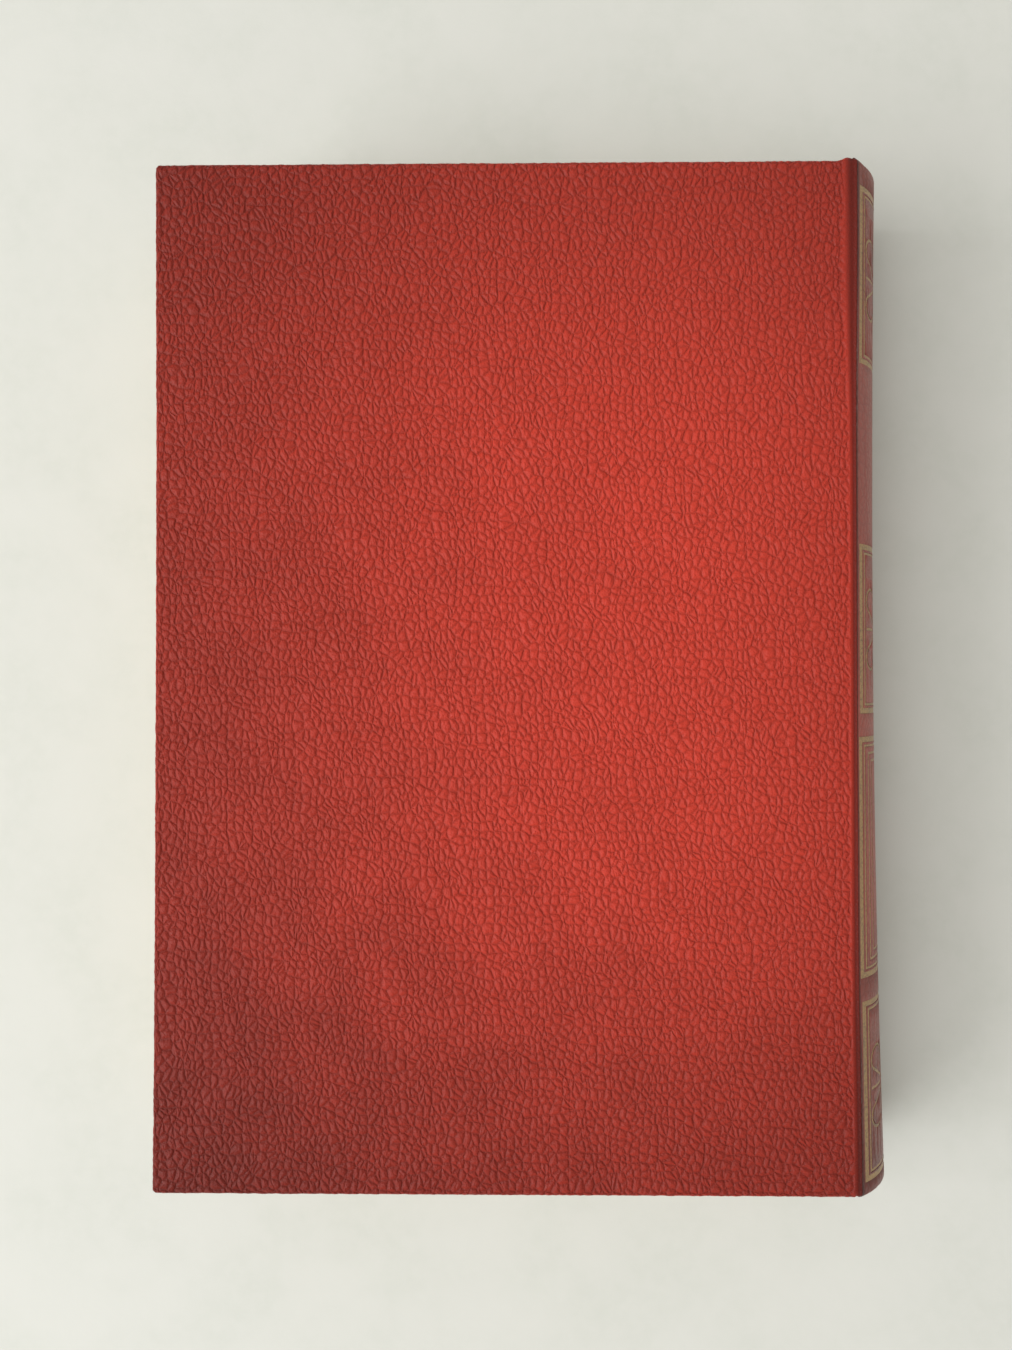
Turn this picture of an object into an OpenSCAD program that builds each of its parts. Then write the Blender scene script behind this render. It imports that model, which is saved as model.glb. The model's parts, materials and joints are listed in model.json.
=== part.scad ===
// A leather-bound book with a rounded, gilt-tooled spine.
// It lies closed on its front cover: +X is the spine, +Y the head, +Z up.
// The origin is the middle of the rectangle that the book covers on the table.

/* [Book] */
// Height of the covers, from tail to head
book_h = 210; // [190:1:240]
// Width of a cover, from its fore-edge to the joint at the spine
cover_w = 142; // [110:1:180]
// Thickness of the closed book
book_t = 30; // [26:0.5:44]
// How far the covers stand out past the pages
square_w = 3; // [1.5:0.1:5]

/* [Covers] */
// Thickness of the millboard in each cover
board_t = 2.1; // [1.6:0.1:3]
// Thickness of the leather
leather_t = 0.8; // [0.6:0.05:1.1]
// Thickness of the leather where it is pared and turned in
turn_in_t = 0.4; // [0.3:0.05:0.6]
// Width of the leather that is turned in over the inside of a board
turn_in_w = 15; // [8:0.5:22]
// Width of the seam where two turned-in flaps meet at a corner
mitre_w = 0.2; // [0.1:0.05:0.4]
// Rounding of the long edges of a covered board
edge_r = 0.9; // [0.5:0.05:1.3]
// Rounding of a cover's corners, seen from above
corner_r = 1; // [0.5:0.1:2.5]

/* [Endpapers] */
// Thickness of the endpaper
endpaper_t = 0.2; // [0.15:0.05:0.3]
// Leather left bare between the pastedown and the edge of the cover
paste_margin = 2.5; // [1:0.1:6]
// Space between a closed cover and the first leaf
page_gap = 0.3; // [0.3:0.05:0.6]

/* [Spine] */
// How far the rounded back stands out past the joint
spine_bulge = 8.9; // [7:0.1:11]
// Distance from the joint to where the round of the back starts
spine_start = 0.8; // [0.5:0.1:1.2]
// Thickness of the card that stiffens the leather of the back
stiffener_t = 0.4; // [0.3:0.05:0.6]
// Angle that the stiffener covers, each way from the middle of the back
stiffener_a = 54; // [48:1:56]
// Free height of the hollow between the stiffener and the paper lining
hollow_t = 0.7; // [0.6:0.05:1]
// Thickness of the paper lining on the backs of the pages
lining_t = 0.3; // [0.2:0.05:0.4]
// Thickness of the open cloth under the lining
mull_t = 0.3; // [0.2:0.05:0.4]
// How far the cloth stops short of the head and the tail of the pages
mull_short = 12; // [8:0.5:20]
// Leather turned in over the stiffener at the head and the tail
cap_turn_in = 12; // [6:0.5:18]
// Play between the hinged covers and the back
hinge_clear = 0.3; // [0.3:0.05:0.5]
// Film of paste between curved layers
paste_t = 0.05; // [0.03:0.01:0.08]

/* [Sewing] */
// Width of a sewing tape
tape_w = 12; // [8:0.5:16]
// Thickness of a sewing tape
tape_t = 0.4; // [0.3:0.05:0.6]
// Distance from the head or the tail of the pages to the middle of the nearest sewing tape
tape_from_end = 44; // [32:1:52]
// Radius of the rolled core of a head band
band_r = 1.1; // [0.8:0.05:1.4]
// Height of the cloth that glues a head band to the back
band_flap_h = 9; // [5:0.5:10]
// Thickness of that cloth
band_flap_t = 0.25; // [0.2:0.05:0.3]
// Angle that a head band covers, each way from the middle of the back
band_a = 44; // [36:1:46]

/* [Tooling] */
// Distance from the joint edge of the back to an ornamented frame, along the round
frame_inset = 1.8; // [1:0.1:3]
// Distance from the joint edge of the back to the title panel's frame, along the round
title_inset = 1.4; // [1:0.1:3]
// Width of the broad gilt rule
rule_w = 1.1; // [0.6:0.05:1.6]
// Width of the thin gilt rules
thin_w = 0.45; // [0.3:0.05:0.6]
// Distance from the outside of one rule to the outside of the next
rule_step = 1.6; // [1.5:0.05:2.2]
// Depth of the tooling below the leather's surface
tool_depth = 0.3; // [0.2:0.05:0.4]
// Thickness of the gilt laid in the tooling
gilt_t = 0.12; // [0.08:0.01:0.15]
// Space left around the gilt in the tooling
gilt_clear = 0.04; // [0.02:0.01:0.08]
// Plain leather above the first panel
head_margin = 4.8; // [3:0.1:8]
// Plain leather below the last panel
tail_margin = 2.8; // [2:0.1:8]
// Height of the first panel, at the head
panel_1_h = 36.4; // [32:0.1:40]
// Height of the second panel
panel_2_h = 34.5; // [32:0.1:40]
// Height of the title panel, whose middle is bare
panel_3_h = 48.8; // [40:0.1:54]
// Height of the last panel, at the tail
panel_4_h = 36.3; // [32:0.1:40]
// Plain strip between neighbouring panels
strip_h = 4.75; // [2:0.05:6]
// Width of the strokes of the ornament
stroke_w = 0.55; // [0.4:0.05:0.8]
// Radius of the round end of a leaf of the ornament
leaf_r = 2.5; // [1.8:0.1:2.6]
// Length of a leaf, from its point to the centre of its round end
leaf_len = 5.6; // [4:0.1:6]
// Distance of a leaf's point from the middle of the back, along the round
leaf_s = 7.1; // [6.9:0.1:7.2]
// Height of a leaf's point above or below the ornament's bar
leaf_y = 1; // [0.8:0.1:2]
// Lean of a leaf away from the middle of the back
leaf_tilt = 32; // [20:1:34]
// Half diagonal of the lozenge in the middle of the ornament
heart_r = 5.8; // [4:0.1:6.2]
// Radius of the boss inside the lozenge
boss_r = 1.8; // [1:0.1:3]

/* [Hidden] */
$fn = 96;

// Smoothness of the round of the back and of the fore-edge
back_fn = 180;
// Overlap that lets a cut run clear of a face
cut = 1;
mid_z = book_t / 2;
joint_x = (cover_w - spine_bulge) / 2;
fore_x = joint_x - cover_w;
// Layers of a cover, from the outside: leather, board, turned-in leather, pastedown
slab_t = leather_t + board_t + turn_in_t;
cover_t = slab_t + endpaper_t;
page_h = book_h - 2 * square_w;
page_t = book_t - 2 * (cover_t + page_gap + endpaper_t);
tape_pitch = page_h / 2 - tape_from_end;
// The back is one arc through the two joints; all its layers share the arc's centre
sagitta = spine_bulge - spine_start;
skin_r = (mid_z * mid_z + sagitta * sagitta) / (2 * sagitta);
arc_x = joint_x + spine_bulge - skin_r;
skin_in_r = skin_r - leather_t;
stiffener_in_r = skin_in_r - stiffener_t;
lining_r = stiffener_in_r - hollow_t;
mull_r = lining_r - lining_t - paste_t;
back_r = mull_r - mull_t - paste_t;
// A cover turns about a line midway between its own edge and the place where the back
// has fallen a cover's thickness, so that it lies flat at the same level on either side
landing_z = mid_z - cover_t - hinge_clear;
landing_x = arc_x + sqrt(skin_r * skin_r - landing_z * landing_z);
hinge_reach = (landing_x - joint_x) / 2;
hinge_x = joint_x + hinge_reach;
hinge_z = mid_z - cover_t / 2;
bead_r = hinge_reach - hinge_clear;
// Where the pages' back meets their flat faces
shoulder_x = arc_x + sqrt(back_r * back_r - page_t * page_t / 4);
page_x = fore_x + square_w;
// Half angle of the linings, which end at the shoulders of the pages
lining_a = acos((joint_x + hinge_clear - arc_x) / back_r) - 1;
tape_depth_r = back_r - tape_t - paste_t;
// Half angle of the joint edge of the back, seen from the arc's centre
joint_a = asin((mid_z - spine_start / 2) / skin_r);
gilt_out_r = skin_r - tool_depth + gilt_t;
// The straight sides of a leaf run into its round end a little inside the tangent
leaf_side = 0.98;
// Half angle of the rounded leather, which runs a little way into its joint beads
skin_a = stiffener_a + 1;
// Half angle of cuts and layers that reach past the shoulders
past_a = 75;
panel_1_y = book_h / 2 - head_margin - panel_1_h;
panel_4_y = tail_margin - book_h / 2;
panel_3_y = panel_4_y + panel_4_h + strip_h;
panel_2_y = panel_3_y + panel_3_h + strip_h;

// Angle of a length along the round of the back
function arc_angle(len) = len / skin_r * 180 / PI;

// Puts a shape that is drawn about the Z axis round the arc's centre line, with Z along the book
module on_back() translate([arc_x, 0, mid_z]) rotate([-90, 0, 0]) children();

// A piece of a curved layer: from radius r0 to r1, angle a0 to a1, y0 to y1 along the book
module stretch(r0, r1, a0, a1, y0, y1)
    on_back() rotate([0, 0, a0]) rotate_extrude(angle = a1 - a0, $fn = back_fn)
        translate([r0, y0]) square([r1 - r0, y1 - y0]);

// The same with its middle on the middle of the back
module layer(r0, r1, a, y0, y1) stretch(r0, r1, -a, a, y0, y1);

// Extrudes a section, drawn with X across the book and Y up, along the height of the book
module along_book(len) rotate([90, 0, 0]) linear_extrude(height = len, center = true) children();

// Copies a part of the back cover to the front cover
module as_front() translate([0, 0, book_t]) mirror([0, 0, 1]) children();

module text_block() color("wheat") difference() {
    along_book(page_h) difference() {
        union() {
            translate([page_x, mid_z - page_t / 2]) square([shoulder_x - page_x, page_t]);
            intersection() {
                translate([arc_x, mid_z]) circle(r = back_r, $fn = back_fn);
                translate([joint_x + hinge_clear, 0]) square([spine_bulge, book_t]);
            }
        }
        // The fore-edge is hollowed by the same round as the back
        translate([arc_x + page_x - shoulder_x, mid_z]) circle(r = back_r, $fn = back_fn);
    }
    for (i = [-1:1]) layer(tape_depth_r, back_r + cut, past_a, i * tape_pitch - tape_w / 2 - paste_t,
                           i * tape_pitch + tape_w / 2 + paste_t);
}

// A linen tape that the sections are sewn to, let into the back; i counts up from the tail
module sewing_tape(i) color("linen")
    layer(tape_depth_r + paste_t, back_r, lining_a, (i - 2) * tape_pitch - tape_w / 2,
          (i - 2) * tape_pitch + tape_w / 2);

module mull() color("gainsboro")
    layer(back_r + paste_t, mull_r, lining_a, mull_short - page_h / 2, page_h / 2 - mull_short);

module spine_lining() color("tan")
    layer(mull_r + paste_t, lining_r, lining_a, -page_h / 2, page_h / 2);

// A rolled core on the end of the pages, with its cloth flap on their back
module head_band() color("firebrick") {
    flap_y = page_h / 2 - band_flap_h;
    core_r = back_r + paste_t + band_flap_t - band_r;
    core_y = page_h / 2 + band_r;
    layer(back_r + paste_t, back_r + paste_t + band_flap_t, band_a, flap_y, core_y);
    on_back() rotate([0, 0, -band_a]) rotate_extrude(angle = 2 * band_a, $fn = back_fn)
        translate([core_r, core_y]) circle(r = band_r, $fn = 32);
}

module tail_band() mirror([0, 1, 0]) head_band();

module back_flyleaf() color("oldlace")
    translate([page_x, -page_h / 2, mid_z + page_t / 2])
        cube([joint_x - page_x, page_h, endpaper_t]);

module back_board() color("darkkhaki")
    translate([fore_x + leather_t, leather_t - book_h / 2, book_t - leather_t - board_t])
        cube([cover_w - leather_t, book_h - 2 * leather_t, board_t]);

// Fills the space inside the turned-in leather, so that the pastedown lies level
module back_infill() color("antiquewhite")
    translate([fore_x + turn_in_w, turn_in_w - book_h / 2, book_t - slab_t])
        cube([cover_w - turn_in_w, book_h - 2 * turn_in_w, turn_in_t]);

module back_pastedown() color("oldlace")
    translate([fore_x + paste_margin, paste_margin - book_h / 2, book_t - cover_t])
        cube([cover_w - paste_margin, book_h - 2 * paste_margin, endpaper_t]);

// A rectangle with all four corners rounded, its lower left corner at the origin
module soft_square(w, h, r) {
    translate([r, 0]) square([w - 2 * r, h]);
    translate([0, r]) square([w, h - 2 * r]);
    for (x = [r, w - r], y = [r, h - r]) translate([x, y]) circle(r = r);
}

// The outside of a covered board: soft along the fore-edge, head and tail, square at the joint
module cover_form() intersection() {
    translate([fore_x, 0, book_t - slab_t]) along_book(book_h + 2 * cut)
        intersection() {
            soft_square(cover_w + 4 * edge_r, slab_t, edge_r);
            square([cover_w, slab_t]);
        }
    translate([fore_x - cut, -book_h / 2, book_t - slab_t]) rotate([90, 0, 90])
        linear_extrude(height = cover_w + 2 * cut) soft_square(book_h, slab_t, edge_r);
    translate([fore_x, -book_h / 2, book_t - slab_t - cut]) linear_extrude(height = slab_t + 2 * cut)
        soft_square(cover_w + 4 * corner_r, book_h, corner_r);
}

module back_leather() color([0.62, 0.17, 0.14]) difference() {
    cover_form();
    // The board slides in from the joint
    translate([fore_x + leather_t, leather_t - book_h / 2, book_t - leather_t - board_t])
        cube([cover_w, book_h - 2 * leather_t, board_t]);
    // The window that the turned-in flaps leave
    translate([fore_x + turn_in_w, turn_in_w - book_h / 2, book_t - slab_t - cut])
        cube([cover_w, book_h - 2 * turn_in_w, turn_in_t + 2 * cut]);
    // The flaps meet in a mitre at each outer corner
    for (side = [-1, 1]) translate([fore_x, side * book_h / 2, book_t - slab_t - cut])
        rotate([0, 0, -45 * side]) translate([2 * edge_r, -mitre_w / 2, 0])
            cube([turn_in_w * sqrt(2), mitre_w, turn_in_t + cut]);
}

module front_flyleaf() as_front() back_flyleaf();
module front_board() as_front() back_board();
module front_infill() as_front() back_infill();
module front_pastedown() as_front() back_pastedown();
module front_leather() as_front() back_leather();

// The card reaches the folds of the leather at the head and the tail
module spine_stiffener() color("burlywood")
    layer(stiffener_in_r, skin_in_r, stiffener_a, leather_t - book_h / 2, book_h / 2 - leather_t);

// Section of the leather of the back, with X outwards and Y along the book, folded in at both ends
module skin_profile() {
    fold_y = book_h / 2 - leather_t;
    translate([skin_in_r, -fold_y]) square([leather_t, 2 * fold_y]);
    for (side = [-1, 1]) mirror([0, side < 0 ? 1 : 0]) {
        intersection() {
            translate([skin_in_r, fold_y]) circle(r = leather_t);
            translate([stiffener_in_r - turn_in_t, fold_y]) square([2 * leather_t, leather_t]);
        }
        translate([stiffener_in_r - turn_in_t, fold_y - cap_turn_in])
            square([turn_in_t, cap_turn_in]);
    }
}

// The leather that is worked down on the shoulder along a joint, inside the sweep of the cover
module joint_bead() along_book(book_h - leather_t) difference() {
    intersection() {
        translate([arc_x, mid_z]) circle(r = skin_r, $fn = back_fn);
        translate([hinge_x, mid_z + hinge_z]) circle(r = bead_r);
        translate([joint_x + hinge_clear, 0]) square([spine_bulge, book_t]);
        translate([arc_x, mid_z]) rotate(stiffener_a) square([2 * skin_r, 2 * skin_r]);
    }
    translate([arc_x, mid_z]) circle(r = lining_r + paste_t, $fn = back_fn);
}

module spine_leather() color([0.55, 0.15, 0.13]) difference() {
    union() {
        on_back() rotate([0, 0, -skin_a]) rotate_extrude(angle = 2 * skin_a, $fn = back_fn)
            skin_profile();
        joint_bead();
        as_front() joint_bead();
    }
    tooling(skin_r - tool_depth, skin_r + cut, gilt_clear);
}

// One ruled frame on the back; side is its panel's distance from the joint edge, and inset counts
// in from the panel's own edge
module rule_frame(y, h, side, inset, w, r0, r1, grow) {
    outer_a = joint_a - arc_angle(side + inset - grow);
    inner_a = joint_a - arc_angle(side + inset + w + grow);
    difference() {
        layer(r0, r1, outer_a, y + inset - grow, y + h - inset + grow);
        layer(r0 - cut, r1 + cut, inner_a, y + inset + w + grow, y + h - inset - w - grow);
    }
}

// A prism that points straight out of the back at an angle; y is its place along the book
module stamp(a, y, depth) on_back() rotate([0, 0, a]) translate([0, 0, y]) rotate([0, 90, 0])
    linear_extrude(height = depth) children();

module lozenge(r, w) rotate(45) difference() {
    square(r * sqrt(2) + w, center = true);
    square(r * sqrt(2) - w, center = true);
}

// A round end and two straight sides that meet in a point at the origin
module drop(r, len) {
    side_r = leaf_side * r;
    side_a = asin(side_r / len);
    translate([len, 0]) circle(r = r, $fn = 64);
    polygon([[0, 0], [len - side_r * sin(side_a), side_r * cos(side_a)],
             [len - side_r * sin(side_a), -side_r * cos(side_a)]]);
}

// The outline of a drop, as one stroke of width w
module leaf(r, len, w) difference() {
    side_a = asin(r / len);
    translate([-w / 2 / sin(side_a), 0]) drop(r + w / 2, len + w / 2 / sin(side_a));
    translate([w / 2 / sin(side_a), 0]) drop(r - w / 2, len - w / 2 / sin(side_a));
}

// An ornament of four leaves round a lozenge, with a boss in its middle and a bar on either side
module knot(y, r0, r1, grow) {
    w = stroke_w + 2 * grow;
    bar_from_a = arc_angle(leaf_s + stroke_w - grow);
    bar_to_a = joint_a - arc_angle(frame_inset + rule_step + thin_w + stroke_w - grow);
    intersection() {
        layer(r0, r1, past_a, y - leaf_len - 2 * leaf_r, y + leaf_len + 2 * leaf_r);
        union() {
            for (side = [-1, 1], up = [-1, 1])
                stamp(side * arc_angle(leaf_s), y + up * leaf_y, 2 * skin_r)
                    mirror([up > 0 ? 1 : 0, 0]) mirror([0, side > 0 ? 0 : 1])
                        rotate(leaf_tilt) leaf(leaf_r, leaf_len, w);
            stamp(0, y, 2 * skin_r) {
                lozenge(heart_r, w);
                circle(r = boss_r + grow, $fn = 64);
            }
        }
    }
    stretch(r0, r1, bar_from_a, bar_to_a, y - w / 2, y + w / 2);
    stretch(r0, r1, -bar_to_a, -bar_from_a, y - w / 2, y + w / 2);
}

module tooling(r0, r1, grow) {
    for (p = [[panel_1_y, panel_1_h], [panel_2_y, panel_2_h], [panel_4_y, panel_4_h]]) {
        rule_frame(p[0], p[1], frame_inset, 0, rule_w, r0, r1, grow);
        rule_frame(p[0], p[1], frame_inset, rule_step, thin_w, r0, r1, grow);
        knot(p[0] + p[1] / 2, r0, r1, grow);
    }
    rule_frame(panel_3_y, panel_3_h, title_inset, 0, rule_w, r0, r1, grow);
    for (i = [1:3])
        rule_frame(panel_3_y, panel_3_h, title_inset, i * rule_step, thin_w, r0, r1, grow);
}

module gilt_tooling() color("darkgoldenrod") tooling(skin_r - tool_depth, gilt_out_r, 0);

text_block();
sewing_tape(1);  // sewing_tape_1
sewing_tape(2);  // sewing_tape_2
sewing_tape(3);  // sewing_tape_3
mull();
spine_lining();
head_band();
tail_band();
front_flyleaf();
back_flyleaf();
front_board();
back_board();
front_infill();
back_infill();
front_pastedown();
back_pastedown();
front_leather();
back_leather();
spine_stiffener();
spine_leather();
gilt_tooling();
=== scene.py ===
"""A leather-bound book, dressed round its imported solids: covers, back, gilt, pages, bands and papers."""
import json
import math
import random

import bmesh
import bpy
import numpy as np
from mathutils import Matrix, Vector


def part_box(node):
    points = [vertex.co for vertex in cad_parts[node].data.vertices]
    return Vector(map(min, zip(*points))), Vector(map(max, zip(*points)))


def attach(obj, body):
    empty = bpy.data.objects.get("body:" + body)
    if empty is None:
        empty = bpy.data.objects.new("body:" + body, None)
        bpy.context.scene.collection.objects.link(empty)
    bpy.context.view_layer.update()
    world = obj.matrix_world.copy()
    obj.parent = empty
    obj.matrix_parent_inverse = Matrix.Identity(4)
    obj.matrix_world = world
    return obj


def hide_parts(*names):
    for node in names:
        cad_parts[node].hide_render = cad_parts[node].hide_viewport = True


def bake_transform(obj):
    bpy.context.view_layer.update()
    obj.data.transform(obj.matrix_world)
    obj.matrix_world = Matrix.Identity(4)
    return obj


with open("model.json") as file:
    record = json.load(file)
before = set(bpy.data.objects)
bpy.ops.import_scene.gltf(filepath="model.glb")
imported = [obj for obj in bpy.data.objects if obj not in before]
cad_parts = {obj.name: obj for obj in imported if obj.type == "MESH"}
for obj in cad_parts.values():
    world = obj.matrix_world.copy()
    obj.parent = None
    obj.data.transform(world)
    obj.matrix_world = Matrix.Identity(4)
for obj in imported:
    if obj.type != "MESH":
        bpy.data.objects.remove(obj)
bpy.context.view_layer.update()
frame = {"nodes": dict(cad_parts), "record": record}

bl_info = {
    "name": "Leather-bound book",
    "version": (1, 0, 0),
    "blender": (4, 5, 0),
    "location": "3D View > Sidebar > Book",
    "description": "Builds the covers, back, gilt, pages and papers of a leather-bound book",
    "category": "Add Mesh",
}

MM = 0.001
BACK_LOW, BACK_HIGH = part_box("back_leather")
FORE_X, JOINT_X, SPINE_X = BACK_LOW.x, BACK_HIGH.x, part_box("spine_leather")[1].x
HALF_H, THICK = BACK_HIGH.y, BACK_HIGH.z
MID_Z = THICK / 2
# The round of the back: its outer radius, and where its centre is
SKIN_R = 17.94 * MM
ARC_X = SPINE_X - SKIN_R


# ---------------------------------------------------------------- sizes and colours

def srgb(text):
    """Linear colour of an sRGB hex value."""
    parts = [int(text[i:i + 2], 16) / 255 for i in (1, 3, 5)]
    return [c / 12.92 if c <= 0.04045 else ((c + 0.055) / 1.055) ** 2.4 for c in parts] + [1.0]


def length(name, about, mm):
    return bpy.props.FloatProperty(name=name, description=about, default=mm * MM, unit="LENGTH",
                                   subtype="DISTANCE")


def colour(name, about, text):
    return bpy.props.FloatVectorProperty(name=name, description=about, default=srgb(text), size=4, min=0, max=1,
                                         subtype="COLOR")


class BookSizes(bpy.types.PropertyGroup):
    """Sizes that shape the dressed pieces"""
    leather: length("Leather", "Thickness of the leather on the boards", 0.8)
    edge: length("Edge", "Rounding of a covered board's edges", 0.9)
    corner: length("Corner", "Rounding of a cover's outer corners", 1.1)
    turn_in: length("Turn-in", "Width of the leather that is folded over a board", 15)
    mitre: length("Mitre", "Width of the seam between two turned-in flaps", 0.25)
    mitre_from: length("Mitre start", "Distance of the seam's outer end from the cover's edges", 2.2)
    bow: length("Bow", "How far the fore-edge bows in at its middle", 0.3)
    grain: bpy.props.FloatProperty(
        name="Grain", description="Share of the grain's depth that is pressed into the mesh", default=0.45,
        subtype="FACTOR")
    cell: length("Cell", "Width of a face of a cover before it is subdivided", 4.95)
    cuts: bpy.props.IntProperty(name="Cuts", description="Cuts that each of those faces gets", default=6)


class BookColours(bpy.types.PropertyGroup):
    """Colours of the leather, the gold, the paper and the silk"""
    skin_deep: colour("Leather, deep", "Dye of the covers where it took most", "#c43d2d")
    skin: colour("Leather", "Dye of the covers where it took least", "#c93f2f")
    # The back's two colours are the covers' red made darker and browner: painted shade and painted reflection
    # of the back, which faces away from the light
    back_deep_shaded: colour("Back, deep", "Dye of the back where it took most", "#91463c")
    back: colour("Back", "Dye of the back where it took least", "#9c4e42")
    gold_worn: colour("Gold, worn", "Gold leaf where it is rubbed thin", "#78604a")
    gold: colour("Gold", "Gold leaf where it is whole", "#b0926a")
    endpaper_deep: colour("Endpaper, deep", "Clouds in the laid paper", "#e6dbbf")
    endpaper: colour("Endpaper", "Laid paper", "#eae0c7")
    silk_red: colour("Red silk", "Red thread of the bands", "#a33a32")
    silk_cream: colour("Cream silk", "Cream thread of the bands", "#e8dcbd")


CLASSES = [BookSizes, BookColours]


def operator(cls):
    """Puts an operator in the list that the panel shows and main() runs."""
    CLASSES.append(cls)
    return cls


# ---------------------------------------------------------------- modelling helpers

def deselect():
    bpy.ops.object.select_all(action="DESELECT")


def activate(obj):
    deselect()
    obj.select_set(True)
    bpy.context.view_layer.objects.active = obj


def edit(obj):
    activate(obj)
    bpy.ops.object.mode_set(mode="EDIT")
    bpy.ops.mesh.select_all(action="DESELECT")


def done():
    bpy.ops.object.mode_set(mode="OBJECT")


def select(obj, kind, test):
    """Selects the vertices, edges or faces that pass the test, and nothing else."""
    mesh = bmesh.from_edit_mesh(obj.data)
    bpy.ops.mesh.select_mode(type={"verts": "VERT", "edges": "EDGE", "faces": "FACE"}[kind])
    for items in (mesh.faces, mesh.edges, mesh.verts):
        for item in items:
            item.select_set(False)
    for item in getattr(mesh, kind):
        if test(item):
            item.select_set(True)
    mesh.select_flush_mode()
    bmesh.update_edit_mesh(obj.data, loop_triangles=False)


def middle(edge):
    return (edge.verts[0].co + edge.verts[1].co) / 2


def span(edge):
    d = edge.verts[0].co - edge.verts[1].co
    return abs(d.x), abs(d.y), abs(d.z)


def near(a, b, slack=0.01 * MM):
    return abs(a - b) < slack


def apply_all(obj):
    activate(obj)
    for modifier in list(obj.modifiers):
        bpy.ops.object.modifier_apply(modifier=modifier.name)


def newest():
    """The piece that an operator has just made."""
    return bpy.context.view_layer.objects.active


def twin(obj):
    """A copy of a piece, with a mesh of its own."""
    copy = obj.copy()
    copy.data = obj.data.copy()
    bpy.context.scene.collection.objects.link(copy)
    return copy


def join(pieces, into):
    """Joins pieces into one of them."""
    deselect()
    for piece in pieces:
        piece.select_set(True)
    bpy.context.view_layer.objects.active = into
    bpy.ops.object.join()


def rename(obj, name):
    obj.name = obj.data.name = name


def copy_node(node, name):
    """A merged copy of a CAD node's mesh as a new piece."""
    source = frame["nodes"][node]
    piece = bpy.data.objects.new(name, source.data.copy())
    bpy.context.scene.collection.objects.link(piece)
    edit(piece)
    bpy.ops.mesh.select_all(action="SELECT")
    bpy.ops.mesh.remove_doubles(threshold=0.002 * MM)
    done()
    return piece


def bisect(point, normal):
    bpy.ops.mesh.select_all(action="SELECT")
    bpy.ops.mesh.bisect(plane_co=point, plane_no=normal, threshold=0.001 * MM)


def points(obj):
    co = np.empty(len(obj.data.vertices) * 3)
    obj.data.vertices.foreach_get("co", co)
    return co.reshape(-1, 3)


def set_points(obj, co):
    obj.data.vertices.foreach_set("co", co.ravel())
    obj.data.update()


def keep_sheet(obj, across, along, third):
    """Stores each point's place on the flat sheet before it was folded, and a third value for the material."""
    sheet = obj.data.attributes.new("sheet", "FLOAT_VECTOR", "POINT")
    sheet.data.foreach_set("vector", np.column_stack([across, along, np.zeros(len(across)) + third]).ravel())


def keep_grain(obj, share):
    """Stores how much of the grain's relief each point gets."""
    obj.data.attributes.new("grain", "FLOAT", "POINT").data.foreach_set("value", share)


def unfold_cover(co, up):
    """Places of a cover's outside on the flat leather: the rounded edges and the flaps are folded out."""
    out = THICK - MID_Z - (co[:, 2] - MID_Z) * up
    turn = BACK_HIGH.z - BACK_LOW.z
    inside = out > turn - 0.15 * MM
    from_fore = co[:, 0] - FORE_X
    from_end = HALF_H - np.abs(co[:, 1])
    to_fore = from_fore < from_end
    across, along = co[:, 0].copy(), np.abs(co[:, 1])
    side = ~inside & (np.minimum(from_fore, from_end) < 0.9 * MM)
    across = np.where(side & to_fore, FORE_X - out, across)
    along = np.where(side & ~to_fore, HALF_H + out, along)
    across = np.where(inside & to_fore, FORE_X - turn - from_fore, across)
    along = np.where(inside & ~to_fore, HALF_H + turn + from_end, along)
    return across, along * np.sign(co[:, 1])


def smooth(obj, angle=40):
    activate(obj)
    bpy.ops.object.shade_smooth_by_angle(angle=math.radians(angle))


def dress(obj, finish):
    obj.data.materials.clear()
    obj.data.materials.append(finish)


def finish_piece(obj, finish, body=None, replaces=()):
    dress(obj, finish)
    if body:
        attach(obj, body)
    if replaces:
        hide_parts(*replaces)


# ---------------------------------------------------------------- materials

def add(tree, kind, inputs=None, **settings):
    """Adds a node, sets its own settings, and fills its inputs with values or with other nodes' outputs."""
    made = tree.nodes.new(kind)
    for key, value in settings.items():
        setattr(made, key, value)
    for key, value in (inputs or {}).items():
        if isinstance(value, bpy.types.NodeSocket):
            tree.links.new(value, made.inputs[key])
        else:
            made.inputs[key].default_value = value
    return made


def calc(tree, operation, a, b=0.0, c=0.0):
    return add(tree, "ShaderNodeMath", {0: a, 1: b, 2: c}, operation=operation).outputs[0]


def in_mm(tree, at):
    """A place in millimetres."""
    return add(tree, "ShaderNodeVectorMath", {0: at, 1: [1000] * 3}, operation="MULTIPLY").outputs[0]


def squeeze(tree, at, per):
    """A place in units of as many millimetres as per says for each direction."""
    return add(tree, "ShaderNodeVectorMath", {0: at, 1: [1 / p for p in per]}, operation="MULTIPLY").outputs[0]


def wander(tree, at, size, reach):
    """Moves places on a sheet about by up to half of reach, in patches of a size."""
    field = add(tree, "ShaderNodeTexNoise", {"Vector": at, "Scale": 1 / size, "Detail": 1.0},
                noise_dimensions="2D")
    centred = add(tree, "ShaderNodeVectorMath", {0: field.outputs["Color"], 1: (0.5,) * 3},
                  operation="SUBTRACT")
    return add(tree, "ShaderNodeVectorMath", {0: centred.outputs[0], 1: (reach,) * 3, 2: at},
               operation="MULTIPLY_ADD").outputs[0]


def ramp(tree, value, low, high, start=0.0, end=1.0):
    """Turns the range from low to high softly into the range from start to end."""
    return add(tree, "ShaderNodeMapRange",
               {"Value": value, "From Min": low, "From Max": high, "To Min": start, "To Max": end},
               interpolation_type="SMOOTHSTEP").outputs[0]


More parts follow.
